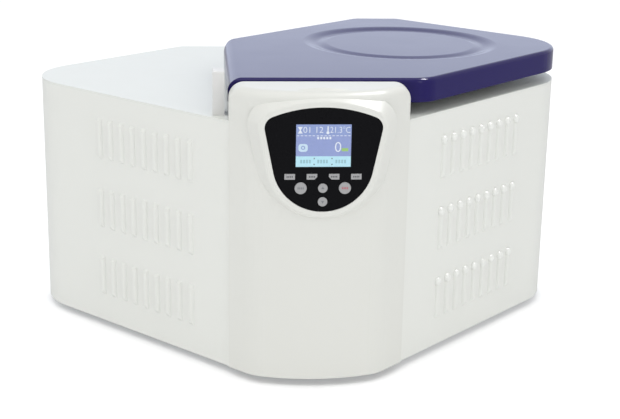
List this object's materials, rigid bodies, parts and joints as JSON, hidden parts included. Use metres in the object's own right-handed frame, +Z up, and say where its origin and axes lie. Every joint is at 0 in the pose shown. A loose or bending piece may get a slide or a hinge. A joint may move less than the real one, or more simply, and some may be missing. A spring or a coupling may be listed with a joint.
{
  "type": "refrigerated centrifuge",
  "caption": "Bench-top refrigerated centrifuge: six-sided white cabinet, bowed control column with colour screen and keypad, pressed louvres, hinged blue lid over a cooled bowl and rotor.",
  "frame": {"origin": "middle of the footprint, on the bench under the rubber feet", "axes": "+Z up, +X to the right as seen from the front, -Y out of the control column's face"},
  "size_m": [0.7126, 0.5688, 0.379],
  "materials": {
    "sheet_white": "fine smooth powder coat, off-white",
    "moulding_white": "off-white moulding, soft sheen",
    "sheet_grey": "plain grey coat",
    "lid_blue": "dark blue-violet, glossy",
    "liner_grey": "plain grey",
    "shield_black": "black, semi-gloss",
    "key_grey": "mid grey",
    "screen_clear": "clear, polished",
    "screen_panel": "lit colour screen",
    "board_green": "green board",
    "foam": "closed-cell foam",
    "bowl_steel": "spun stainless steel",
    "bright_steel": "bright steel",
    "bracket_steel": "zinc-plated steel",
    "gasket_rubber": "matt black rubber",
    "motor_aluminium": "cast and bare aluminium",
    "rotor_aluminium": "turned aluminium, satin",
    "knob_black": "black",
    "compressor_black": "black enamel",
    "copper": "bare copper",
    "black_plastic": "black"
  },
  "bodies": {
    "root": {"right_side_panel": "sheet_white", "left_side_panel": "sheet_white", "top_deck": "sheet_white", "control_column": "moulding_white", "side_post": "moulding_white", "back_panel": "sheet_grey", "base_pan": "sheet_grey", "board_bracket": "sheet_grey", "fan_shroud": "sheet_grey", "motor_plate": "sheet_grey", "keypad_shield": "shield_black", "display_window": "screen_clear", "display_module": "screen_panel", "key_board": "board_green", "control_board": "board_green", "bowl_insulation": "foam", "bowl": "bowl_steel", "hinge_pin": "bright_steel", "motor_bearing": "bright_steel", "back_screws": "bright_steel", "hinge_base": "bracket_steel", "bowl_gasket": "gasket_rubber", "shaft_seal": "gasket_rubber", "rubber_feet": "gasket_rubber", "motor_dampers": "gasket_rubber", "compressor_feet": "gasket_rubber", "motor_housing": "motor_aluminium", "evaporator_jacket": "motor_aluminium", "motor_drive": "motor_aluminium", "condenser": "motor_aluminium", "compressor": "compressor_black", "fan_motor": "compressor_black", "discharge_pipe": "copper", "liquid_pipe": "copper", "filter_drier": "copper", "power_inlet": "black_plastic", "switch_frame": "black_plastic", "lock_housing": "black_plastic"},
    "lid": {"lid_shell": "lid_blue", "lid_liner": "liner_grey", "lid_insulation": "foam", "lid_striker": "bright_steel", "hinge_leaf": "bracket_steel"},
    "rotor": {"drive_shaft": "bright_steel", "rotor_body": "rotor_aluminium", "rotor_cover": "rotor_aluminium", "rotor_knob": "knob_black"},
    "fan": {"fan_blades": "black_plastic"},
    "lock_bolt": {"lock_bolt": "bright_steel"},
    "power_rocker": {"power_rocker": "black_plastic"},
    "soft_key_1": {"soft_key_1": "key_grey"},
    "soft_key_2": {"soft_key_2": "key_grey"},
    "soft_key_3": {"soft_key_3": "key_grey"},
    "soft_key_4": {"soft_key_4": "key_grey"},
    "start_key": {"start_key": "key_grey"},
    "stop_key": {"stop_key": "key_grey"},
    "up_key": {"up_key": "key_grey"},
    "down_key": {"down_key": "key_grey"}
  },
  "joints": [
    {"name": "lid_hinge", "type": "hinge", "parent": "root", "child": "lid", "pos_m": [0.133, 0.27415, 0.335], "axis": [-1, 0, 0], "range_deg": [0, 72]},
    {"name": "rotor_spin", "type": "hinge", "parent": "root", "child": "rotor", "pos_m": [0.1404, 0.06145, 0.175], "axis": [0, 0, 1], "continuous": true},
    {"name": "fan_spin", "type": "hinge", "parent": "root", "child": "fan", "pos_m": [-0.06, 0.24375, 0.107], "axis": [0, 1, 0], "continuous": true},
    {"name": "lock_bolt_slide", "type": "slide", "parent": "root", "child": "lock_bolt", "axis": [-1, 0, 0], "range_m": [0, 0.009]},
    {"name": "power_rocker_tilt", "type": "hinge", "parent": "root", "child": "power_rocker", "pos_m": [0.104, 0.27745, 0.112], "axis": [1, 0, 0], "range_deg": [0, 14]},
    {"name": "soft_key_1_press", "type": "slide", "parent": "root", "child": "soft_key_1", "axis": [0, 1, 0], "range_m": [0, 0.001], "stiffness_N_per_m": 300},
    {"name": "soft_key_2_press", "type": "slide", "parent": "root", "child": "soft_key_2", "axis": [0, 1, 0], "range_m": [0, 0.001], "stiffness_N_per_m": 300},
    {"name": "soft_key_3_press", "type": "slide", "parent": "root", "child": "soft_key_3", "axis": [0, 1, 0], "range_m": [0, 0.001], "stiffness_N_per_m": 300},
    {"name": "soft_key_4_press", "type": "slide", "parent": "root", "child": "soft_key_4", "axis": [0, 1, 0], "range_m": [0, 0.001], "stiffness_N_per_m": 300},
    {"name": "start_key_press", "type": "slide", "parent": "root", "child": "start_key", "axis": [0, 1, 0], "range_m": [0, 0.001], "stiffness_N_per_m": 300},
    {"name": "stop_key_press", "type": "slide", "parent": "root", "child": "stop_key", "axis": [0, 1, 0], "range_m": [0, 0.001], "stiffness_N_per_m": 300},
    {"name": "up_key_press", "type": "slide", "parent": "root", "child": "up_key", "axis": [0, 1, 0], "range_m": [0, 0.001], "stiffness_N_per_m": 300},
    {"name": "down_key_press", "type": "slide", "parent": "root", "child": "down_key", "axis": [0, 1, 0], "range_m": [0, 0.001], "stiffness_N_per_m": 300}
  ]
}
